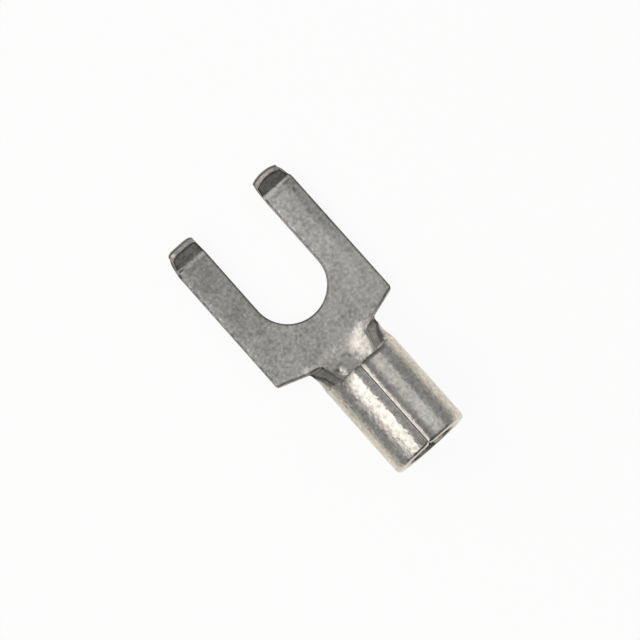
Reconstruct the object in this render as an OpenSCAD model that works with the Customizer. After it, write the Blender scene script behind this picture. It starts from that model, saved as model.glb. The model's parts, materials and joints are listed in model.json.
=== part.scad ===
// Flanged fork terminal: one sheet of tin-plated copper, stamped flat and then rolled.
// The open fork slides under a stud's screw head, and its turned-up tips keep it there.
// The tail is rolled into a barrel with a butted seam on top, which is crimped onto the wire.
// Origin: the stud's axis, in the plane of the flat underside. Tips lie along +Y, the seam is up.

/* [Sheet] */
// Thickness of the plated copper sheet
sheet_t = 1; // [0.6:0.05:1.2]

/* [Tongue] */
// Width across both tines
tongue_w = 9.9; // [8.6:0.1:13]
// Width of the open stud slot
slot_w = 5.1; // [4.3:0.1:6.4]
// From the stud's axis forward to the crease where the tips turn up
tine_l = 5.35; // [3.5:0.05:9]
// From the stud's axis back to the tongue's rear corners
heel_l = 4.55; // [3.8:0.05:7]
// Slope of the rear edges as they run in to the neck
heel_angle = 19; // [6:1:30]
// Rounding of the two rear corners
heel_r = 0.25; // [0.1:0.05:0.6]

/* [Turned-up tips] */
// Angle that each tip is turned up by
tip_angle = 38; // [15:1:75]
// Length of the turned-up plate beyond its bend
tip_l = 0.9; // [0.6:0.05:1.8]
// Inside radius of the bend
tip_bend_r = 0.15; // [0.05:0.05:0.5]
// How far each side runs in over the length of the tip
tip_taper = 0.16; // [0.02:0.02:0.4]
// Radius of the curved end of the tip
tip_end_r = 2.6; // [2:0.1:6]

/* [Barrel] */
// Bore that takes the stripped wire
bore_d = 3.6; // [2.6:0.1:4.2]
// Length of the rolled barrel
barrel_l = 6.75; // [4:0.05:10]
// Bevel on the rims, inside and outside
rim_bevel = 0.1; // [0.04:0.02:0.2]
// Gap between the two butted edges
seam_gap = 0.06; // [0.02:0.02:0.3]
// Depth of the groove that the rounded edges leave along the seam
seam_groove = 0.1; // [0.04:0.02:0.2]
// Depth of the nick that the clipped corners leave at each end of the seam
seam_nick = 0.16; // [0.06:0.02:0.4]

/* [Neck] */
// Length of the neck, from the notches to the barrel's front rim
neck_l = 2.07; // [1.6:0.01:4]
// Angle that each wing has been rolled through where it meets the front rim
neck_wrap = 135; // [110:1:150]
// Slope that the trough's floor reaches at the front rim, below the wings' folds
neck_floor = 75; // [60:1:85]
// How fast the wings turn up behind the notches
neck_curl = 2.8; // [2.2:0.1:3.6]
// Share of the sheet that the wings' folds take up at the notches
neck_fold = 0.2; // [0.18:0.01:0.3]
// Radius of the notch between the tongue and each wing
notch_r = 0.55; // [0.3:0.05:0.8]

/* [Hidden] */
$fn = 96;

bore_r = bore_d / 2;
barrel_r = bore_r + sheet_t;
roll_r = bore_r + sheet_t / 2;
tongue_half = tongue_w / 2;
slot_half = slot_w / 2;
tine_w = tongue_half - slot_half;

// The notch corner, where the sloped rear edge would meet the barrel's side line
notch_y = -heel_l - (tongue_half - barrel_r) * tan(heel_angle);
notch_reach = notch_r / tan((90 + heel_angle) / 2);
notch_front = [barrel_r + notch_reach * cos(heel_angle), notch_y + notch_reach * sin(heel_angle)];
notch_back_y = notch_y - notch_reach;
rim_y = notch_y - neck_l;

// The neck's skin lies this far inside the tongue and barrel where it runs into them
neck_inset = 0.02;
// How far the neck runs into the tongue and into the barrel's wall
neck_root = 0.4;
// Inside radius that the wings' folds keep at least
fold_open = 0.05;
// Below 1 the floor's slope rises fastest at the notches
floor_rise = 0.75;
neck_stations = 16;
// Above 1 the stations crowd towards the notches
station_crowd = 1.5;
floor_steps = 8;
fold_steps = 10;
neck_steps = floor_steps + fold_steps;
// Cutting tools reach this far past what they cut
over = 1;

// Share of the way from the notches to the rim, for station i
function neck_share(i) = pow(i / neck_stations, station_crowd);

function neck_y(f) = notch_front[1] + f * (rim_y - notch_front[1]);

// Angle that the wing's edge has been turned through
function neck_turn(f) = neck_wrap * (1 - pow(1 - f, neck_curl));

// Slope of the trough's floor where the wing's fold begins: it rises almost evenly to the rim
function floor_turn(f) = neck_floor * pow(f, floor_rise);

// Share of the half width that lies in the fold: enough to leave its inside open, and at the rim
// as much as makes floor and fold one circle
function fold_share(f) =
    let (fold_turn = (neck_turn(f) - floor_turn(f)) * PI / 180)
    let (least = fold_turn * (sheet_t / 2 + fold_open) / roll_r)
    max(least, neck_fold + f * (1 - neck_floor / neck_wrap - neck_fold));

// Tilt of the sheet at a share w of its half width
function neck_tilt(f, w) =
    let (fold = fold_share(f))
    floor_turn(f) * min(1, w / (1 - fold))
        + (neck_turn(f) - floor_turn(f)) * max(0, 1 - (1 - w) / fold);

// Share of the half width at point k of the section
function section_share(f, k) =
    let (fold = fold_share(f))
    k < floor_steps ? (1 - fold) * k / floor_steps : 1 - fold * (neck_steps - k) / fold_steps;

// Step from point k to the next as [x, z], for a half width of 1
function unit_step(f, k) =
    let (a = section_share(f, k), b = section_share(f, k + 1))
    let (tilt = neck_tilt(f, (a + b) / 2))
    (b - a) * [cos(tilt), sin(tilt)];

// Right half of the section's middle line, for a half width of 1
function unit_half(f) =
    [for (k = 0, p = [0, 0]; k <= neck_steps; p = p + unit_step(f, k), k = k + 1) p];

// Width that the round notch still adds at this share
function notch_width(f) =
    let (d = min(notch_r, max(0, neck_y(f) - notch_back_y)))
    notch_r - sqrt(notch_r * notch_r - d * d);

// Half width of the flat sheet that makes the neck as wide as the barrel
function sheet_half(f) =
    let (reach = max([for (p = unit_half(f)) p[0]]))
    (barrel_r + notch_width(f) - sheet_t / 2 * sin(min(90, neck_turn(f)))) / reach;

// Right half of one skin of the neck's section as [x, z], from the middle to the wing's edge
function neck_half(f, skin) =
    let (half = sheet_half(f), mid = unit_half(f))
    [for (k = [0 : neck_steps])
        let (tilt = neck_tilt(f, section_share(f, k)))
        half * mid[k] + [skin * sin(tilt), sheet_t / 2 - skin * cos(tilt)]];

// One whole skin of the section, from the left wing's edge to the right wing's edge
function neck_skin(f, skin) =
    let (half = neck_half(f, skin))
    concat([for (k = [neck_steps : -1 : 1]) [-half[k][0], half[k][1]]], half);

// Closed ring of 3D points: under skin first, then the upper skin
function neck_ring(f, y) =
    let (t = sheet_t / 2 - neck_inset)
    [for (p = concat(neck_skin(f, t), neck_skin(f, -t))) [p[0], y, p[1]]];

module tongue_outline() {
    difference() {
        polygon([
            [tongue_half, tine_l],
            [tongue_half, -heel_l],
            notch_front,
            [-notch_front[0], notch_front[1]],
            [-tongue_half, -heel_l],
            [-tongue_half, tine_l]
        ]);
        heel_trim();
        mirror([1, 0]) heel_trim();
    }
}

// What is taken off a rear corner to round it
module heel_trim() {
    reach = heel_r * tan((90 - heel_angle) / 2);
    centre = [tongue_half - heel_r, reach - heel_l];
    slope_end = [tongue_half - reach * cos(heel_angle), -heel_l - reach * sin(heel_angle)];
    difference() {
        polygon([
            [tongue_half, reach - heel_l],
            [tongue_half + over, reach - heel_l],
            [tongue_half + over, -heel_l - over],
            [slope_end[0], -heel_l - over],
            slope_end,
            centre
        ]);
        translate(centre) circle(heel_r);
    }
}

// The flat fork, with a true round end to its slot
module tongue() {
    difference() {
        linear_extrude(sheet_t) tongue_outline();
        translate([0, 0, -over]) cylinder(r = slot_half, h = sheet_t + 2 * over);
        translate([-slot_half, 0, -over]) cube([slot_w, tine_l + over, sheet_t + 2 * over]);
    }
}

// The right tine's tip: a bend and then a tapered plate with a curved end
module tip() {
    translate([slot_half, tine_l, sheet_t + tip_bend_r]) {
        rotate([0, 90, 0])
            rotate_extrude(angle = tip_angle)
                translate([tip_bend_r, 0]) square([sheet_t, tine_w]);
        rotate([tip_angle, 0, 0])
            translate([0, 0, -tip_bend_r - sheet_t])
                linear_extrude(sheet_t) tip_outline();
    }
}

module tip_outline() {
    intersection() {
        polygon([[0, 0], [tine_w, 0], [tine_w - tip_taper, tip_l], [tip_taper, tip_l]]);
        translate([tine_w / 2, tip_l - tip_end_r]) circle(tip_end_r);
    }
}

// The neck: a loft from the flat sheet to the rolled barrel, with the wings' cut edges left open
module neck() {
    half_n = 2 * neck_steps + 1;
    ring_n = 2 * half_n;
    shares = concat([0], [for (i = [0 : neck_stations]) neck_share(i)], [1]);
    ys = concat(
        [neck_y(0) + neck_root],
        [for (i = [0 : neck_stations]) neck_y(neck_share(i))],
        [rim_y - neck_root]
    );
    last = len(ys) - 1;
    points = [for (i = [0 : last]) each neck_ring(shares[i], ys[i])];
    under = [for (i = [0 : last - 1], k = [0 : half_n - 2])
        let (a = i * ring_n + k)
        each [[a, a + ring_n, a + 1], [a + 1, a + ring_n, a + ring_n + 1]]];
    upper = [for (i = [0 : last - 1], k = [half_n : ring_n - 2])
        let (a = i * ring_n + k)
        each [[a, a + 1, a + ring_n], [a + 1, a + ring_n + 1, a + ring_n]]];
    left_edge = [for (i = [0 : last - 1])
        let (a = i * ring_n, b = a + half_n)
        each [[a, b, a + ring_n], [b, b + ring_n, a + ring_n]]];
    right_edge = [for (i = [0 : last - 1])
        let (a = i * ring_n + half_n - 1, b = a + half_n)
        each [[a, a + ring_n, b], [b, a + ring_n, b + ring_n]]];
    front = [for (k = [0 : half_n - 2])
        let (b = k + half_n)
        each [[k, k + 1, b], [k + 1, b + 1, b]]];
    back = [for (k = [0 : half_n - 2])
        let (a = last * ring_n + k, b = a + half_n)
        each [[a, b, a + 1], [a + 1, b, b + 1]]];
    polyhedron(points, concat(under, upper, left_edge, right_edge, front, back), convexity = 6);
}

// The rolled barrel, with the butted seam open along its top
module barrel() {
    translate([0, rim_y, barrel_r])
        difference() {
            rotate([90, 0, 0]) rotate_extrude() wall_profile();
            seam();
        }
}

// Section of the barrel's wall, with bevelled rims
module wall_profile() {
    b = rim_bevel;
    polygon([
        [bore_r + b, 0], [barrel_r - b, 0], [barrel_r, b], [barrel_r, barrel_l - b],
        [barrel_r - b, barrel_l], [bore_r + b, barrel_l], [bore_r, barrel_l - b], [bore_r, b]
    ]);
}

// The slit, the grooves along it outside and inside, and the nicks at its ends
module seam() {
    long = barrel_l + 2 * over;
    groove = seam_groove * sqrt(2);
    translate([-seam_gap / 2, over - long, 0]) cube([seam_gap, long, barrel_r + over]);
    for (z = [bore_r, barrel_r])
        translate([0, over - long / 2, z]) rotate([0, 45, 0]) cube([groove, long, groove], center = true);
    for (end = [[0, -1], [-barrel_l, 1]])
        translate([0, end[0], 0])
            linear_extrude(barrel_r + over)
                polygon([[-seam_nick, 0], [0, end[1] * seam_nick], [seam_nick, 0], [0, -end[1] * over]]);
}

module fork_terminal() {
    color([0.69, 0.68, 0.65]) {
        tongue();
        tip();
        mirror([1, 0, 0]) tip();
        neck();
        barrel();
    }
}

fork_terminal();
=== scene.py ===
# Flanged fork terminal: one sheet of tin-plated copper, stamped, bent and rolled.
# Lengths in the sections below are in millimetres until a mesh or a lamp is made.
import json

import bpy
import numpy as np
from mathutils import Matrix, Vector


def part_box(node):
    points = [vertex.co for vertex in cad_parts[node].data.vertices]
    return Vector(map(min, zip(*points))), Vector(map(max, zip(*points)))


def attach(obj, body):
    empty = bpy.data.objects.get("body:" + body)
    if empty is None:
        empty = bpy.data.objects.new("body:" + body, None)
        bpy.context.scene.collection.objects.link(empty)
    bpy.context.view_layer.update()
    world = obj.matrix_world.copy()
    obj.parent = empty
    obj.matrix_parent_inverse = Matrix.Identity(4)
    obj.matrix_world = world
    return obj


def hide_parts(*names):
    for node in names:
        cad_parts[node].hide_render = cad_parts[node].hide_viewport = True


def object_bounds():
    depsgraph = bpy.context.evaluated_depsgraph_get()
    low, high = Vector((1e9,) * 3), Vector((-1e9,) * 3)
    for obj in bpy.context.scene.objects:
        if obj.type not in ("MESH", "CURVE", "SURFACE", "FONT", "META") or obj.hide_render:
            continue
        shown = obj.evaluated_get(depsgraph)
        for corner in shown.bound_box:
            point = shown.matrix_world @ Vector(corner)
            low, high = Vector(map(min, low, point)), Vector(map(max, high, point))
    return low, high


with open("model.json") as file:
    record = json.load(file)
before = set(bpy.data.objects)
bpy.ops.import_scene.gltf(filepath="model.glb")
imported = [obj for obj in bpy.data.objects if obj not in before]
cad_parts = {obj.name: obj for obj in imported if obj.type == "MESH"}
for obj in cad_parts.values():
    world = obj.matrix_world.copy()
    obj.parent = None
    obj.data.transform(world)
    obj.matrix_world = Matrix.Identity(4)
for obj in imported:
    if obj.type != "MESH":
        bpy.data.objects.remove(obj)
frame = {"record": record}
cad_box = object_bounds()

# Sheet: the flat blank of half-hard copper that everything else is formed from.
# A press cuts it out in one stroke, which draws the upper face down a little along
# every cut edge, and it is tinned all over after forming.
mm = 0.001
low, high = (np.array(corner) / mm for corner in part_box("fork_terminal"))
mounts = {mount["name"]: mount["dims"] for mount in frame["record"]["mounts"]}
slot_r = mounts["stud_slot"]["r_mm"]
sheet_t = mounts["stud_slot"]["length_mm"]
bore_r = mounts["wire_barrel"]["r_mm"]
barrel_r = bore_r + sheet_t
roll_r = bore_r + sheet_t / 2
corner_r = 0.05
draw_depth = 0.03
draw_width = 0.45
# Rows next to a cut edge: even turns round its corner, then steps that widen evenly
corner_turn = np.linspace(0, np.pi / 2, 5)
widening = np.cumsum(np.arange(2, 7))
edge_rows = np.concatenate([
    corner_r * (1 - np.cos(corner_turn)),
    corner_r + (draw_width - corner_r) * widening / widening[-1],
])


def strip_rows(width, inner_rows):
    """Distances across strips of the given widths: the edge spacing at both sides, and even
    steps between them."""
    rim = edge_rows[:, None] + 0 * width
    share = np.linspace(0, 1, inner_rows + 2)[1:-1, None]
    body = draw_width + share * (width - 2 * draw_width)
    return np.vstack([rim, body, width - rim[::-1]])


def ease(x):
    """Smooth step from 0 to 1 as x goes from 0 to 1."""
    x = np.clip(x, 0, 1)
    return x * x * (3 - 2 * x)


# Neck: the part of the sheet between the flat tongue and the round barrel. The forming dies turn
# it up into a shallow trough and fold its wings in behind two round notches. They struck it
# unevenly: the floor is flatter on the left, and has a soft crease and a later fold on the right.
tongue_half = high[0]
heel_l = 4.55
heel_angle = np.radians(19)
notch_r = 0.55
notch_y = -heel_l - (tongue_half - barrel_r) * np.tan(heel_angle)
notch_reach = notch_r / np.tan((np.pi / 2 + heel_angle) / 2)
notch_front_y = notch_y + notch_reach * np.sin(heel_angle)
notch_back_y = notch_y - notch_reach
neck_l = 2.07
rim_y = notch_y - neck_l
trough_y = -4.55
trough_run = 1.2
trough_full = np.radians(39)
left_y = -5.1
left_full = np.radians(17.5)
left_power = 2
right_crease = 0.35
crease_front_y = -5.5
crease_rear_y = -6.85
crease_run = 0.5
fold_y = {-1: -5.2, 1: -5.3}
fold_power = 5
fold_width = 0.15
fold_spread = 1.1
neck_wrap = np.radians(135)
neck_waist = 0.1
held_share = 0.6
held_y = -4.9
held_run = 0.6
heel_ease = 0.5
dent_at = (-1.3, -6.68)
dent_half = (0.28, 0.36)
dent_depth = 0.11
neck_rows = 64
reach_steps = 240
# Places and weights of Gauss's rule for a mean over the range from 0 to 1
step, weight = np.polynomial.legendre.leggauss(12)
step, weight = (step + 1) / 2, weight / 2


def behind(y, start):
    """Share of the way from the given start to the barrel's front rim."""
    return np.clip((start - y) / (start - rim_y), 0, 1)


def trough_turn(y, side):
    """Angle that the trough's floor would turn through over the whole half width: on the right
    it grows evenly from behind the slot, on the left it stays flatter and starts at the notch."""
    right = trough_full * ease((trough_y - y) / trough_run)
    left = left_full * ease((left_y - y) / trough_run)
    return np.where(side < 0, left, right)


def wing_turn(y, side):
    """Angle that the wings' edges have been turned through: it is fastest at the notches and
    levels off at the rim."""
    start = np.where(side < 0, fold_y[-1], fold_y[1])
    folded = neck_wrap * (1 - (1 - behind(y, start)) ** fold_power)
    return np.maximum(folded, trough_turn(y, side))


def fold_share(y):
    """Share of the half width that the fold takes: least at the notches, all of it at the rim."""
    return fold_width + (1 - fold_width) * behind(y, notch_y) ** fold_spread


def halfway(y):
    """Hump that is 1 half-way along the neck and 0 at the notches and the rim: a squared sine."""
    return np.sin(np.pi * np.clip((notch_front_y - y) / (notch_front_y - rim_y), 0, 1)) ** 2


def tilt(y, share, side):
    """Tilt of the sheet at a share of its half width: it grows across the trough's floor, slowly
    at first on the left and with a soft crease on the right, and evenly and faster across the
    fold next to the edge. In the tongue it dies away again towards the heels."""
    trough = trough_turn(y, side)
    creased = ease((crease_front_y - y) / crease_run) * (1 - ease((crease_rear_y - y) / crease_run))
    floor_share = share ** np.where(side < 0, left_power, 1 - right_crease * creased)
    fold = np.clip(1 - (1 - share) / fold_share(y), 0, 1)
    outside = ease((share - held_share) / (1 - held_share))
    held = outside * (1 - ease((held_y - y) / held_run))
    return trough * floor_share * (1 - held) + (wing_turn(y, side) - trough) * fold


def half_width(y, side):
    """Half width of the flat sheet that makes the neck as wide as the barrel, less a slight
    waist: the reach wanted over the reach of a sheet of width 1."""
    share = np.linspace(0, 1, reach_steps + 1)
    run = np.cos(tilt(y[..., None], share, side[..., None]))
    reach = np.cumsum((run[..., 1:] + run[..., :-1]) / 2, -1).max(-1) / reach_steps
    turn = np.minimum(wing_turn(y, side), np.pi / 2)
    return (barrel_r - neck_waist * halfway(y) - sheet_t / 2 * np.sin(turn)) / reach


def cut_width(y, side):
    """Half width at which the sheet is cut: the neck's own, plus what the round notches leave."""
    depth = np.clip(y - notch_back_y, 0, notch_front_y - notch_back_y)
    return half_width(y, side) + notch_r - np.sqrt(notch_r ** 2 - depth ** 2)


def curl(s, y):
    """Mid-sheet points and normals behind the slot: the sheet's lateral distance s is laid along
    a curve of the given tilt, so its run and rise are s times the mean cosine and sine. Past the
    neck's width, in the heels, the tilt dies away."""
    side = np.sign(s)
    half = half_width(y, side)
    share = np.minimum(np.abs(s) / half, 1)
    along = tilt(y[..., None], share[..., None] * step, side[..., None])
    past = np.maximum(np.abs(s) - half, 0)
    fade = np.exp(-past / heel_ease)
    turn = tilt(y, share, side)
    eased = heel_ease * (1 - fade)
    run = share * half * (np.cos(along) @ weight) + past - (1 - np.cos(turn)) * eased
    rise = share * half * (np.sin(along) @ weight) + np.sin(turn) * eased
    turn = turn * fade
    mid = np.stack([side * run, y, sheet_t / 2 + rise], -1)
    return mid, np.stack([-side * np.sin(turn), 0 * turn, np.cos(turn)], -1)


# Columns of the neck and barrel as shares of the half width: even, then crowded by a power law
# towards the cut edge
half_columns = 50
edge_columns = 9
edge_part = 0.14
edge_share = edge_part * (np.arange(edge_columns) / edge_columns) ** 2.3
half_share = np.concatenate([np.linspace(0, 1 - edge_part, half_columns), 1 - edge_share[::-1]])
neck_share = np.concatenate([-half_share[:0:-1], half_share])
root_half = {side: float(cut_width(np.array(notch_front_y), np.array(side))) for side in (-1, 1)}


def neck_grid():
    """The neck as rows of curled sections from the notches to the rim, each cut at its wings'
    edges."""
    rows = np.linspace(0, 1, neck_rows)[:, None]
    y = notch_front_y + rows * (rim_y - notch_front_y) + 0 * neck_share
    cut = cut_width(y, np.sign(neck_share) + 0 * rows)
    s = neck_share * cut
    lean = np.gradient(cut, y[:, 0], axis=0)
    edge = (cut - np.abs(s)) / np.hypot(1, lean)
    mid, normal = curl(s, y)
    # The press has left one small dent in the floor, with a bell curve for its section
    from_dent = np.hypot((s - dent_at[0]) / dent_half[0], (y - dent_at[1]) / dent_half[1])
    dent = dent_depth * np.exp(-from_dent ** 2)
    return mid, normal, edge, np.stack([s, y], -1), np.stack([-dent, 0 * dent], -1)


# Tongue: the flat fork that slides under a screw head, stamped with an open slot whose end
# is a half circle. Its rear edges slope in to the notches, and there it begins to curl.
heel_r = 0.25
tine_columns = 30
side_columns = 22
heel_columns = 7
slope_columns = 14
tongue_rows = 12


def rear_edge(side):
    """Front end of the notch, and the direction along the sloped edge from there to the heel, as
    if on the right-hand side."""
    front = np.array([root_half[side], notch_front_y])
    along = np.array([tongue_half, -heel_l]) - front
    return front, along / np.linalg.norm(along)


def heel_outline(side):
    """Rear outline of one side of the tongue, as if on the right, from the slot's centre line to
    the notch: the side, a quarter-round corner, then the sloped edge."""
    front, slope = rear_edge(side)
    bend = np.pi / 2 - np.arctan2(slope[1], slope[0])
    reach = heel_r * np.tan(bend / 2)
    side_y = np.linspace(0, reach - heel_l, side_columns)[1:]
    straight = np.column_stack([np.full(side_y.size, tongue_half), side_y])
    turn = np.linspace(0, bend, heel_columns)[1:]
    corner = np.array([tongue_half - heel_r, reach - heel_l])
    corner = corner + heel_r * np.column_stack([np.cos(turn), -np.sin(turn)])
    run = np.linspace(0, 1, slope_columns)[1:, None]
    return np.vstack([straight, corner, corner[-1] + run * (front - corner[-1])])


def outer_distance(x, y, side):
    """Distance from points on one side of the tongue to its outer edge: the nearest of the
    side, the sloped edge and the round notch."""
    front, slope = rear_edge(side)
    inward = np.array([-slope[1], slope[0]])
    centre = front - notch_r * inward
    from_notch = np.stack([np.abs(x), y], -1) - front
    to_arc = np.hypot(np.abs(x) - centre[0], y - centre[1]) - notch_r
    rear = np.where(from_notch @ slope > 0, from_notch @ inward, to_arc)
    return np.minimum(tongue_half - np.abs(x), rear)


# Tips: the ends of the two tines, turned up by a bending die so that the fork can't slip
# out from under a loose screw. The die bent the left one a little askew, and the press trimmed
# it squarer than the right one.
tine_l = 5.35
tip_l = 0.9
tip_angle = np.radians(38)
tip_bend = 0.15 + sheet_t / 2
blank_end = tine_l + tip_bend * tip_angle + tip_l
tip_columns = 5
bend_columns = 14
taper_run = 1.6
bow_run = 0.8
bulge = 0.02
bulge_back = 0.2
bulge_run = 0.11
tip_round = 0.12
tips = {
    -1: {"taper": (0.06, 0.33), "bow": 0.2, "square": 6, "skew": np.tan(np.radians(1))},
    1: {"taper": (0.1, 0.33), "bow": 0.24, "square": 2.2, "skew": 0},
}


def fork_side(side):
    """One side of the fork on the flat blank, as paired points on the slot's edge and the
    outer edge from the tip to the notch, with each pair's distance from the tip's end."""
    tip = tips[side]
    plate = np.linspace(draw_width, tip_l, tip_columns + 1)[1:]
    bend = np.linspace(tip_l, tip_l + tip_bend * tip_angle, bend_columns)[1:]
    flat = np.linspace(bend[-1], blank_end, tine_columns)[1:]
    from_end = np.concatenate([edge_rows, plate, bend, flat])
    narrow = 1 - ease(from_end / taper_run)
    y = blank_end - from_end
    tine_in = np.column_stack([slot_r + tip["taper"][0] * narrow, y])
    tine_out = np.column_stack([tongue_half - tip["taper"][1] * narrow, y])
    heel = heel_outline(side)
    round_in = slot_r * heel / np.linalg.norm(heel, axis=1)[:, None]
    far = np.full(len(heel), blank_end)
    mirror = np.array([side, 1])
    inner = np.vstack([tine_in, round_in]) * mirror
    outer = np.vstack([tine_out, heel]) * mirror
    return inner, outer, np.concatenate([from_end, far])


def crease_at(x):
    """Where the bend starts, along a line that is square to the tine or a little askew."""
    skew = np.where(x < 0, tips[-1]["skew"], tips[1]["skew"])
    return tine_l + skew * (np.abs(x) - (slot_r + tongue_half) / 2)


def rounded(distance, run, depth):
    """Depth that a quarter ellipse takes off a skin at a distance from its edge."""
    return depth * (1 - np.sqrt(1 - np.clip(1 - distance / run, 0, 1) ** 2))


def turn_up(x, y):
    """Mid-sheet points and normals in front of the slot's centre: flat up to the crease, then an
    arc about a line across the tine, then straight at the tip's angle."""
    crease = crease_at(x)
    turn = np.clip((y - crease) / tip_bend, 0, tip_angle)
    plate = np.maximum(y - crease - tip_bend * tip_angle, 0)
    run = np.minimum(y, crease) + tip_bend * np.sin(turn) + plate * np.cos(tip_angle)
    rise = sheet_t / 2 + tip_bend * (1 - np.cos(turn)) + plate * np.sin(tip_angle)
    return np.stack([x, run, rise], -1), np.stack([0 * x, -np.sin(turn), np.cos(turn)], -1)


def fork_grid():
    """The whole fork as one band that runs from the left tip round the slot to the right tip:
    each column is a straight line from the slot's edge to the outer edge or to the neck."""
    left_in, left_out, left_end = fork_side(-1)
    right_in, right_out, right_end = fork_side(1)
    root_x = neck_share[1:-1] * np.where(neck_share[1:-1] < 0, root_half[-1], root_half[1])
    root = np.column_stack([root_x, np.full(root_x.size, notch_front_y)])
    root_in = slot_r * root / np.linalg.norm(root, axis=1)[:, None]
    inner = np.vstack([left_in, root_in, right_in[::-1]])
    outer = np.vstack([left_out, root, right_out[::-1]])
    from_end = np.concatenate([left_end, np.full(len(root), blank_end), right_end[::-1]])
    width = np.linalg.norm(outer - inner, axis=1)
    rows = strip_rows(width, tongue_rows)
    share = rows / width
    x = inner[:, 0] + share * (outer[:, 0] - inner[:, 0])
    y = inner[:, 1] + share * (outer[:, 1] - inner[:, 1])
    # The tip's end is bowed, and the columns straighten out behind it
    bow = np.where(x < 0, tips[-1]["bow"], tips[1]["bow"])
    square = np.where(x < 0, tips[-1]["square"], tips[1]["square"])
    y = y - bow * np.abs(2 * share - 1) ** square * (1 - ease(from_end / bow_run))
    to_rear = np.where(x < 0, outer_distance(x, y, -1), outer_distance(x, y, 1))
    to_side = np.where(from_end < blank_end, width - rows, to_rear)
    edge = np.minimum(np.minimum(rows, to_side), from_end)
    front, back = turn_up(x, y), curl(x, y)
    mid, normal = (np.where(y[..., None] > 0, front[k], back[k]) for k in range(2))
    # The bend pushes up a low ridge behind the crease
    ridge = bulge * np.exp(-((y - crease_at(x) + bulge_back) / bulge_run) ** 2)
    relief = np.stack([ridge, -rounded(from_end + 0 * x, tip_round, tip_round)], -1)
    return mid, normal, edge, np.stack([x, y], -1), relief


# Barrel: the tail of the sheet, rolled until its two edges butt on top, where the wire
# goes in. The left edge has sunk a little and the right one is worn to a slope, clipped
# corners leave a small nick at each end of the seam, and both rims are rolled over outside.
end_y = low[1]
seam_gap = 0.015
seam_shift = -0.12
seam_step = {-1: -0.08, 1: 0.0}
seam_reach = 0.3
seam_bevel = 0.4
seam_drop = 0.1
bevel_power = 1.4
seam_nick = 0.14
nick_run = 0.3
nick_width = 0.1
front_run = 0.3
front_depth = 0.16
rear_run = 0.4
rear_skew = 0.1
rear_depth = 0.22
barrel_rows = 44
wing_columns = 24
wing_root = roll_r * neck_wrap


def barrel_grid(s, front):
    """Part of the rolled barrel: the sheet's own lateral distance s becomes an angle, and the
    seam's edges are raised or sunk in a bell curve. front says whether the front rim is cut."""
    half_turn = np.pi * roll_r
    to_seam = np.where(s > 0, half_turn - seam_shift - s, half_turn + seam_shift + s) - seam_gap / 2
    length = rim_y - end_y
    rows = strip_rows(np.array([length]), barrel_rows)
    nick = seam_nick * np.exp(-np.maximum(to_seam, 0) / nick_width)
    back = np.clip(1 - rows / nick_run, 0, 1) ** 2
    fore = np.clip(1 - (length - rows) / nick_run, 0, 1) ** 2
    y = end_y + rows + nick * (back - front * fore)
    raised = np.where(s > 0, seam_step[1], seam_step[-1])
    r = roll_r + raised * np.exp(-(to_seam / seam_reach) ** 2)
    a = s / roll_r + 0 * rows
    mid = np.stack([r * np.sin(a), y, barrel_r - r * np.cos(a)], -1)
    normal = np.stack([-np.sin(a), 0 * a, np.cos(a)], -1)
    edge = np.minimum(rows, to_seam + 0 * rows)
    if front:
        edge = np.minimum(edge, length - rows)
    off = rounded(rows, rear_run + rear_skew * s / half_turn, rear_depth)
    wing = front * ease((np.abs(s) - wing_root) / front_run)
    off = off + wing * rounded(length - rows, front_run, front_depth)
    bevel = seam_drop * np.clip(1 - to_seam / seam_bevel, 0, 1) ** bevel_power
    off = np.maximum(off, (s > 0) * bevel)
    return mid, normal, edge, np.stack([s + 0 * rows, y], -1), np.stack([0 * off, -off], -1)


wing_share = np.concatenate([np.linspace(0, 1 - 2 * edge_part, wing_columns), 1 - 2 * edge_share[::-1]])
wing_width = np.pi * roll_r - seam_gap / 2 - wing_root
left_wing = -wing_root - wing_share[::-1] * (wing_width + seam_shift)
right_wing = wing_root + wing_share * (wing_width - seam_shift)

# Terminal: the grids above joined into the one formed sheet, with its thickness laid off
# to both sides of the middle and rounded off towards every cut edge.
neck = neck_grid()
tail = barrel_grid(neck_share * wing_root, 0)
# The neck's last section is the barrel's first
neck[0][-1] = tail[0][-1]
grids = [fork_grid(), neck, tail, barrel_grid(left_wing, 1), barrel_grid(right_wing, 1)]


def grid_quads(mid, normal, start):
    """Corner indices of a grid's faces, turned so that they face along the sheet's normal."""
    rows, columns = mid.shape[:2]
    index = start + np.arange(rows * columns).reshape(rows, columns)
    corners = [index[:-1, :-1], index[:-1, 1:], index[1:, 1:], index[1:, :-1]]
    quads = np.stack(corners, -1).reshape(-1, 4)
    facing = np.cross(mid[:-1, 1:] - mid[:-1, :-1], mid[1:, :-1] - mid[:-1, :-1])
    return quads if (facing * normal[:-1, :-1]).sum() > 0 else quads[:, ::-1]


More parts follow.
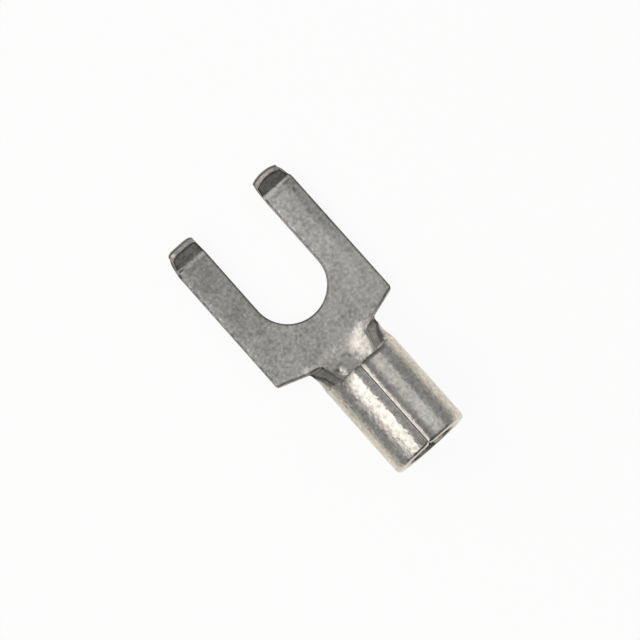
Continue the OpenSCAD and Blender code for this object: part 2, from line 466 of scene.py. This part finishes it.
def formed_sheet(grids):
    """Vertices, faces, edge distance and blank position of the solid sheet: grids welded where
    they meet, half the thickness to each side along the normal, a quarter circle taken off at
    every cut edge, and a wall along each border that belongs to one face only."""
    mid, normal, edge, blank, relief = (
        np.concatenate([grid[k].reshape(-1, *grid[k].shape[2:]) for grid in grids]) for k in range(5)
    )
    starts = np.cumsum([0] + [grid[2].size for grid in grids])
    quads = np.vstack([grid_quads(grid[0], grid[1], start) for grid, start in zip(grids, starts)])
    _, first, same = np.unique(np.round(mid, 4), axis=0, return_index=True, return_inverse=True)
    same = same.ravel()
    quads = same[quads]
    nearest = np.full(first.size, np.inf)
    np.minimum.at(nearest, same, np.maximum(edge, 0))
    mid, normal, blank, relief = mid[first], normal[first], blank[first], relief[first]
    inset = np.maximum(corner_r - nearest, 0)
    skin = sheet_t / 2 - corner_r + np.sqrt(corner_r ** 2 - inset ** 2)
    draw = draw_depth * np.clip(1 - nearest / draw_width, 0, 1) ** 2
    upper, under = skin - draw + relief[:, 0], skin + relief[:, 1]
    count = first.size
    vertices = np.vstack([mid + upper[:, None] * normal, mid - under[:, None] * normal])
    sides = np.vstack([quads[:, [k, (k + 1) % 4]] for k in range(4)])
    alone = ~np.isin(sides[:, 0] * count + sides[:, 1], sides[:, 1] * count + sides[:, 0])
    a, b = sides[alone].T
    walls = np.column_stack([b, a, a + count, b + count])
    faces = np.vstack([quads, quads[:, ::-1] + count, walls])
    face = np.repeat([1.0, -1.0], count)
    return vertices, faces, np.tile(nearest, 2), np.column_stack([np.tile(blank, (2, 1)), face])


vertices, faces, edge_distance, blank_place = formed_sheet(grids)
mesh = bpy.data.meshes.new("terminal_sheet")
mesh.from_pydata(vertices * mm, [], faces.tolist())
mesh.shade_smooth()
edge_layer = mesh.attributes.new("edge_distance", "FLOAT", "POINT")
edge_layer.data.foreach_set("value", edge_distance)
blank_layer = mesh.attributes.new("blank", "FLOAT_VECTOR", "POINT")
blank_layer.data.foreach_set("vector", blank_place.ravel())
terminal = bpy.data.objects.new("terminal_sheet", mesh)
bpy.context.scene.collection.objects.link(terminal)
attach(terminal, "root")
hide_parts("fork_terminal")

# Tin plate: a satin coat of electroplated tin with a fine pebbled grain. It is cloudy where it
# has been handled and darker on the torn cut faces, partly as painted shade. Its colour also holds
# painted light and shade: painted shade over the rolled barrel, in the bore, in the wings' folds, at
# the barrel's front rim and along the cut edges' corners (there partly dirt), painted light and shade
# on the tines, and painted highlights along the tines' creases, on the tips' ends and on the neck's
# dent. All its marks are placed in millimetres on the flat blank.
tin_colour = (0.7, 0.69, 0.66)
tone_level = 0.55
mottle_part = 0.45
cloud_part = 0.45
corner_dirt_and_shade = 0.68
rim_shade_level = 0.55
bump_depth = 0.032
tin = bpy.data.materials.new("satin_tin")
tin.use_nodes = True
tree = tin.node_tree


def feed(tree, socket, value):
    """Sets an input socket, or links it where the value is another node's output."""
    if isinstance(value, bpy.types.NodeSocket):
        tree.links.new(value, socket)
    else:
        socket.default_value = value


def math(tree, operation, *values):
    """Result of a maths node on the given values."""
    made = tree.nodes.new("ShaderNodeMath")
    made.operation = operation
    for socket, value in zip(made.inputs, values):
        feed(tree, socket, value)
    return made.outputs[0]


def product(tree, result, *others):
    """All the values multiplied together."""
    for other in others:
        result = math(tree, "MULTIPLY", result, other)
    return result


def total(tree, result, *others):
    """All the values added together."""
    for other in others:
        result = math(tree, "ADD", result, other)
    return result


def between(tree, mask, first, last):
    """The first number where the mask is 0, the last where it is 1, and a mix in between."""
    return math(tree, "MULTIPLY_ADD", mask, last - first, first)


def ramp(tree, value, start, end, first, last):
    """Smooth change from first to last as the value goes from start to end."""
    made = tree.nodes.new("ShaderNodeMapRange")
    made.interpolation_type = "SMOOTHSTEP"
    for socket, number in zip(made.inputs, (value, start, end, first, last)):
        feed(tree, socket, number)
    return made.outputs[0]


def noise(tree, place, size, detail):
    """Cloudy noise whose patches are about the given size across, in millimetres."""
    made = tree.nodes.new("ShaderNodeTexNoise")
    made.inputs["Scale"].default_value = 1 / (size * mm)
    made.inputs["Detail"].default_value = detail
    tree.links.new(place, made.inputs["Vector"])
    return made.outputs["Fac"]


place = tree.nodes.new("ShaderNodeTexCoord").outputs["Object"]
edge_reader = tree.nodes.new("ShaderNodeAttribute")
edge_reader.attribute_name = "edge_distance"
to_edge = edge_reader.outputs["Fac"]
blank_reader = tree.nodes.new("ShaderNodeAttribute")
blank_reader.attribute_name = "blank"
split = tree.nodes.new("ShaderNodeSeparateXYZ")
tree.links.new(blank_reader.outputs["Vector"], split.inputs["Vector"])
across, along, face = split.outputs

# Masks that several marks share
before_rim = ramp(tree, along, rim_y, rim_y + 0.3, 0.0, 1.0)
in_neck = ramp(tree, along, -4.7, -5.2, 0.0, 1.0)
on_tips = ramp(tree, along, tine_l, tine_l + 0.3, 0.0, 1.0)
right_half = ramp(tree, across, -1.0, 1.0, 0.0, 1.0)
left_half = math(tree, "SUBTRACT", 1.0, right_half)
upper_half = ramp(tree, face, -0.5, 0.5, 0.0, 1.0)
upper_skin = ramp(tree, face, 0.5, 0.9, 0.0, 1.0)
from_core = math(tree, "ABSOLUTE", face)
from_centre = math(tree, "ABSOLUTE", across)

# The flat sheet is brighter and grainier than the rolled barrel and the neck's right wall; their
# darker tone is painted shade, which dims how brightly they reflect the light overhead
speckle = noise(tree, place, 0.24, 4)
pebble = noise(tree, place, 0.3, 1)
mottle = noise(tree, place, 0.6, 2)
cloud = noise(tree, place, 2.6, 1)
right_wall = product(tree, ramp(tree, across, 0.0, 1.0, 0.0, 1.0), in_neck)
flat = ramp(tree, along, -6.2, -5.0, 0.0, 1.0)
flat = product(tree, flat, math(tree, "SUBTRACT", 1.0, right_wall))
grain = product(tree, math(tree, "SUBTRACT", speckle, 0.5), between(tree, flat, 1.2, 1.4))
tone = total(tree, grain, tone_level)
tone = math(tree, "MULTIPLY_ADD", mottle, mottle_part, tone)
tone = math(tree, "MULTIPLY_ADD", cloud, cloud_part, tone)
tone = product(tree, tone, between(tree, flat, 0.845, 0.98))

# Painted shade darkens the left tine and painted light brightens the right one, but for a band of
# painted shade along its outer edge: the tines catch the light as if each were tilted a little
# differently
on_tines = ramp(tree, along, -2.5, 1.5, 0.0, 1.0)
on_tines = product(tree, on_tines, ramp(tree, along, tine_l, tine_l + 0.2, 1.0, 0.0))
left_tine_shade = ramp(tree, across, -3.4, -1.5, -0.2, 0.0)
left_tine_shade = product(tree, left_tine_shade, ramp(tree, across, -4.8, -4.2, 0.4, 1.0))
right_tine_light = ramp(tree, across, 1.5, 3.0, 0.0, 0.2)
ragged = math(tree, "MULTIPLY_ADD", mottle, 0.5, across)
outer_band_shade = ramp(tree, ragged, 4.2, 4.6, 0.0, -0.4)
tines = product(tree, on_tines, total(tree, left_tine_shade, right_tine_light, outer_band_shade))
tone = product(tree, tone, total(tree, tines, 1.0))

# The corners of the cut edges are darkened, on the neck's wings only along the outer ones: partly
# dirt and partly painted shade, which dims what the rounded corners reflect
skin = ramp(tree, from_core, between(tree, on_tips, 0.4, 0.9), 1.0, 0.0, 1.0)
corner_start_y = between(tree, right_half, -5.8, -5.1)
outer = ramp(tree, math(tree, "SUBTRACT", along, corner_start_y), 0.0, 0.2, 0.0, 1.0)
outer = math(tree, "MAXIMUM", outer, math(tree, "SUBTRACT", 1.0, upper_half))
corner = product(tree, ramp(tree, to_edge, 0.05, 0.18, corner_dirt_and_shade, 0.0), skin, outer, before_rim)

# Painted shade also darkens the outside of the barrel's front rim and the highlight behind it,
# further back beside the seam on the left
rim_shade_run = product(tree, ramp(tree, across, -6.7, -5.9, 0.0, 0.6), left_half)
rim_shade_y = math(tree, "SUBTRACT", rim_y - 0.4, rim_shade_run)
rim_shade = product(
    tree,
    ramp(tree, along, rim_shade_y, rim_y - 0.06, 0.0, rim_shade_level),
    ramp(tree, along, rim_y + 0.02, rim_y, 0.0, 1.0),
    ramp(tree, face, -0.9, -0.5, 1.0, 0.0),
    ramp(tree, from_centre, 5.2, 5.7, 0.0, 1.0),
)
tone = product(tree, tone, math(tree, "SUBTRACT", 1.0, total(tree, corner, rim_shade)))

# Painted shade darkens the wings' folds, where their hollows reflect dark surroundings
fold_shade = product(
    tree,
    ramp(tree, to_edge, 0.3, 0.9, 0.4, 0.0),
    upper_skin,
    ramp(tree, along, -5.4, -5.8, 0.0, 1.0),
    ramp(tree, along, rim_y - 0.1, rim_y, 0.0, 1.0),
)
tone = product(tree, tone, math(tree, "SUBTRACT", 1.0, fold_shade))

# The torn cut faces are darker, partly as matt torn metal and partly as painted shade, most of all
# on the tips, whose ends carry painted highlights: the right one along its middle, the left one in a
# spot
torn = product(tree, ramp(tree, from_core, 0.8, 0.98, 1.0, 0.0), before_rim)
tip_highlight_middle = ramp(tree, across, 2.6, 2.95, 0.45, 0.75)
tip_highlight_middle = product(tree, tip_highlight_middle, ramp(tree, across, 4.1, 4.5, 1.0, 0.5))
from_spot = math(tree, "ABSOLUTE", math(tree, "ADD", across, 4.33))
tip_highlight = total(tree, tip_highlight_middle, ramp(tree, from_spot, 0.08, 0.2, 0.6, 0.0))
tip_highlight = product(tree, tip_highlight, ramp(tree, face, -0.6, -0.1, 0.0, 1.0))
tip_end = ramp(tree, along, blank_end - 0.34, blank_end - 0.28, 0.0, 1.0)
dull_and_shaded = math(tree, "SUBTRACT", between(tree, on_tips, 0.3, 0.78), product(tree, tip_end, tip_highlight))
tone = product(tree, tone, math(tree, "SUBTRACT", 1.0, product(tree, torn, dull_and_shaded)))

# A painted highlight runs across each tine just behind the crease, where the bend turns to the
# light, and a band a little further behind it is darker
skew = ramp(tree, across, -0.1, 0.1, tips[-1]["skew"], tips[1]["skew"])
from_middle = math(tree, "SUBTRACT", from_centre, (slot_r + tongue_half) / 2)
to_crease = math(tree, "SUBTRACT", along, math(tree, "MULTIPLY_ADD", skew, from_middle, tine_l))
crease_highlight = ramp(tree, to_crease, -0.28, -0.14, 0.0, 0.4)
crease_highlight = product(tree, crease_highlight, ramp(tree, to_crease, -0.1, 0.0, 1.0, 0.0))
dull_line = ramp(tree, to_crease, -0.7, -0.5, 0.0, -0.14)
dull_line = product(tree, dull_line, ramp(tree, to_crease, -0.35, -0.25, 1.0, 0.0))
tone = product(tree, tone, total(tree, crease_highlight, dull_line, 1.0))

# The right tip is darker and the left one a little brighter, and painted shade dims the highlight
# on the seam's sloped right edge
tip_tone = ramp(tree, along, tine_l, tine_l + 0.1, 0.0, 1.0)
tip_tone = product(tree, tip_tone, between(tree, right_half, 0.06, -0.14))
seam_slope_shade = ramp(tree, across, 6.85, 7.0, 0.0, -0.25)
tone = product(tree, tone, total(tree, tip_tone, seam_slope_shade, 1.0))

# Marks on the upper skin: centre and half size on the blank, and strength. Some are scuffs from
# the press and from handling; two bright ones are painted highlights
scuffs_and_highlights = [
    ((-4.57, 5.26), (0.32, 0.09), -0.7),
    ((-4.87, 5.06), (0.12, 0.26), -0.7),
    ((-4.6, 4.97), (0.2, 0.26), 0.35),
    ((4.41, 5.16), (0.42, 0.11), -0.6),
    # A painted highlight along the right tine's crease
    ((4.26, 5.36), (0.5, 0.1), 1.3),
    ((2.64, 5.0), (0.14, 0.3), -0.45),
    ((4.48, 4.45), (0.17, 0.2), -0.45),
    ((-2.82, -4.94), (0.3, 0.2), 0.9),
    ((-0.4, -5.86), (0.4, 0.15), -0.35),
    ((-0.03, -6.05), (0.15, 0.28), -0.35),
    ((-0.9, -6.15), (0.45, 0.12), -0.35),
    ((-1.5, -6.28), (0.4, 0.14), -0.2),
    # A painted highlight on the neck's dent
    ((-1.12, -6.62), (0.3, 0.42), 0.9),
]
wander = math(tree, "MULTIPLY_ADD", mottle, 0.8, -0.4)
for (x, y), (half_x, half_y), strength in scuffs_and_highlights:
    off_x = math(tree, "DIVIDE", math(tree, "SUBTRACT", across, x), half_x)
    off_y = math(tree, "DIVIDE", math(tree, "SUBTRACT", along, y), half_y)
    squares = total(tree, product(tree, off_x, off_x), product(tree, off_y, off_y))
    reach = total(tree, math(tree, "SQRT", squares), wander)
    mark_tone = product(tree, upper_skin, ramp(tree, reach, 0.1, 1.2, strength, 0.0))
    tone = product(tree, tone, total(tree, mark_tone, 1.0))

# Painted shade makes the bore darker than the outside
bore_shade = product(tree, ramp(tree, along, rim_y, rim_y - 0.4, 0.0, 1.0), upper_half)
tone = product(tree, tone, between(tree, bore_shade, 1.0, 0.4))

# The torn faces are rougher, and so is the neck, where the dies have dragged over it
dragged = product(tree, in_neck, before_rim, 0.18)
roughness = math(tree, "MULTIPLY_ADD", mottle, 0.12, 0.16)
roughness = math(tree, "MULTIPLY_ADD", torn, 0.35, roughness)
roughness = total(tree, roughness, dragged)
colour = tree.nodes.new("ShaderNodeVectorMath")
colour.operation = "SCALE"
colour.inputs[0].default_value = tin_colour
tree.links.new(tone, colour.inputs["Scale"])
bump = tree.nodes.new("ShaderNodeBump")
bump.inputs["Distance"].default_value = bump_depth * mm
feed(tree, bump.inputs["Height"], product(tree, pebble, between(tree, right_wall, 1.0, 0.5)))
shader = tree.nodes["Principled BSDF"]
shader.inputs["Metallic"].default_value = 1.0
tree.links.new(colour.outputs[0], shader.inputs["Base Color"])
tree.links.new(roughness, shader.inputs["Roughness"])
tree.links.new(bump.outputs["Normal"], shader.inputs["Normal"])
mesh.materials.append(tin)

# Floor: a white sweep that the terminal lies on, which keeps a faint shadow. It glows rather than
# being lit, and in the metal's reflections its glow is painted light: warm where it is seen steeply,
# and dimmer at a flat angle, as a slightly glossy sheet in a dim room would look.
floor_half = 500
floor_gap = 0.002
floor_paint = (0.9, 0.9, 0.89, 1)
warm_glow = (1, 0.94, 0.84, 1)
pure_white = (1, 1, 1, 1)
shadow_share = 0.07
right_run = 5
right_ease = 0.15
floor_x = floor_half * np.array([-1, 1, 1, -1])
floor_y = floor_half * np.array([-1, -1, 1, 1])
floor_corners = np.column_stack([floor_x, floor_y, np.zeros(4)])
floor_mesh = bpy.data.meshes.new("floor")
floor_mesh.from_pydata(floor_corners * mm, [], [(0, 1, 2, 3)])
floor = bpy.data.objects.new("floor", floor_mesh)
floor.location = (0, 0, cad_box[0][2] - floor_gap * mm)
bpy.context.scene.collection.objects.link(floor)
white = bpy.data.materials.new("white_floor")
white.use_nodes = True
tree = white.node_tree
tree.nodes.clear()
out = tree.nodes.new("ShaderNodeOutputMaterial")
paint = tree.nodes.new("ShaderNodeBsdfDiffuse")
paint.inputs["Color"].default_value = floor_paint
glow = tree.nodes.new("ShaderNodeEmission")
blend = tree.nodes.new("ShaderNodeMixShader")
path = tree.nodes.new("ShaderNodeLightPath")
facing = tree.nodes.new("ShaderNodeLayerWeight").outputs["Facing"]
# A painted pool of light to the right of the terminal: there the floor's glow, as the metal sees it,
# stays bright down to a flatter angle
spot = tree.nodes.new("ShaderNodeSeparateXYZ")
tree.links.new(tree.nodes.new("ShaderNodeTexCoord").outputs["Object"], spot.inputs["Vector"])
right_light_pool = ramp(tree, spot.outputs["X"], -right_run * mm, right_run * mm, 0.0, -right_ease)
facing = math(tree, "ADD", facing, right_light_pool)
seen = path.outputs["Is Camera Ray"]
mirrored = math(tree, "MAXIMUM", path.outputs["Is Glossy Ray"], path.outputs["Is Transmission Ray"])
tint = tree.nodes.new("ShaderNodeMix")
tint.data_type = "RGBA"
neutral = math(tree, "MAXIMUM", seen, ramp(tree, facing, 0.5, 0.9, 0.0, 1.0))
feed(tree, tint.inputs["Factor"], neutral)
tint.inputs["A"].default_value = warm_glow
tint.inputs["B"].default_value = pure_white
tree.links.new(tint.outputs["Result"], glow.inputs["Color"])
strength = math(tree, "MAXIMUM", seen, ramp(tree, facing, 0.28, 0.84, 0.97, 0.34))
feed(tree, glow.inputs["Strength"], strength)
# The camera sees the floor's own glow, apart from a share of paint that takes the shadow
feed(tree, blend.inputs["Fac"], math(tree, "MULTIPLY_ADD", seen, 1 - shadow_share, mirrored))
tree.links.new(paint.outputs["BSDF"], blend.inputs[1])
tree.links.new(glow.outputs["Emission"], blend.inputs[2])
tree.links.new(blend.outputs["Shader"], out.inputs["Surface"])
floor_mesh.materials.append(white)

# Light: long softboxes to the left of the terminal and a weaker one to its right, hung over
# it in a dim room that is darker low down behind the barrel.
warm = (1, 0.93, 0.86)
lamp_distance = 0.25
softboxes = {
    "left_softbox": {"zenith": (-18.5, -52), "reach": (-0.2, 1.0), "radiance": 1.1},
    "left_fill": {"zenith": (-52, -62), "reach": (-0.2, 0.6), "radiance": 0.78},
    "left_edge": {"zenith": (-62, -74), "reach": (-0.2, 0.6), "radiance": 0.36},
    "right_softbox": {"zenith": (26, 60), "reach": (-0.2, 0.06), "radiance": 0.33},
}
lengthwise = Vector((0, 1, 0))
for name, box in softboxes.items():
    inner, outer = np.radians(box["zenith"])
    rear, fore = box["reach"]
    width = 2 * lamp_distance * np.tan(abs(outer - inner) / 2)
    lamp = bpy.data.lights.new(name, "AREA")
    lamp.shape = "RECTANGLE"
    lamp.size = width
    lamp.size_y = fore - rear
    lamp.color = warm
    # The renderer spreads an area lamp's power over four times its area
    lamp.energy = 4 * width * (fore - rear) * box["radiance"]
    middle = (inner + outer) / 2
    towards = Vector((np.sin(middle), 0, np.cos(middle)))
    turn = Matrix((lengthwise.cross(towards), lengthwise, towards)).transposed()
    hung = Matrix.Translation(lamp_distance * towards + (rear + fore) / 2 * lengthwise)
    softbox = bpy.data.objects.new(name, lamp)
    softbox.matrix_world = hung @ turn.to_4x4()
    bpy.context.scene.collection.objects.link(softbox)

overhead = 0.41
level = 0.36
rear_dim = 0.36
world = bpy.data.worlds.new("dim_room")
world.use_nodes = True
bpy.context.scene.world = world
tree = world.node_tree
looking = tree.nodes.new("ShaderNodeTexCoord")
parts = tree.nodes.new("ShaderNodeSeparateXYZ")
tree.links.new(looking.outputs["Generated"], parts.inputs["Vector"])
height = ramp(tree, parts.outputs["Z"], 0.2, 0.8, level, overhead)
shade = ramp(tree, parts.outputs["Y"], -0.7, -0.3, rear_dim, 1.0)
feed(tree, tree.nodes["Background"].inputs["Strength"], math(tree, "MULTIPLY", height, shade))
tree.nodes["Background"].inputs["Color"].default_value = pure_white

# Camera: a long lens almost straight above, as the picture was taken, turned so that the
# tips point to the upper left.
image_px = 640
px_per_mm = 15.41
lens_mm = 200
sensor_mm = 36
stud_px = Vector((287.6, 284.9))
lean_left = np.radians(2.3)
lean_back = np.radians(6.3)
image_up = Vector((0.6613, 0.7501, 0))
to_camera = Vector((-np.sin(lean_left), -np.sin(lean_back), 1)).normalized()
up = (image_up - image_up.dot(to_camera) * to_camera).normalized()
right = up.cross(to_camera)
field = image_px / px_per_mm * mm
distance = field * lens_mm / sensor_mm
offset = (Vector((image_px / 2, image_px / 2)) - stud_px) / px_per_mm * mm
aim = Vector((0, 0, sheet_t * mm)) + offset.x * right - offset.y * up
lens = bpy.data.cameras.new("camera")
lens.lens = lens_mm
lens.sensor_width = sensor_mm
camera = bpy.data.objects.new("camera", lens)
camera.matrix_world = Matrix.Translation(aim + distance * to_camera) @ (
    Matrix((right, up, to_camera)).transposed().to_4x4()
)
bpy.context.scene.collection.objects.link(camera)
bpy.context.scene.camera = camera
bpy.context.scene.view_settings.view_transform = "Standard"
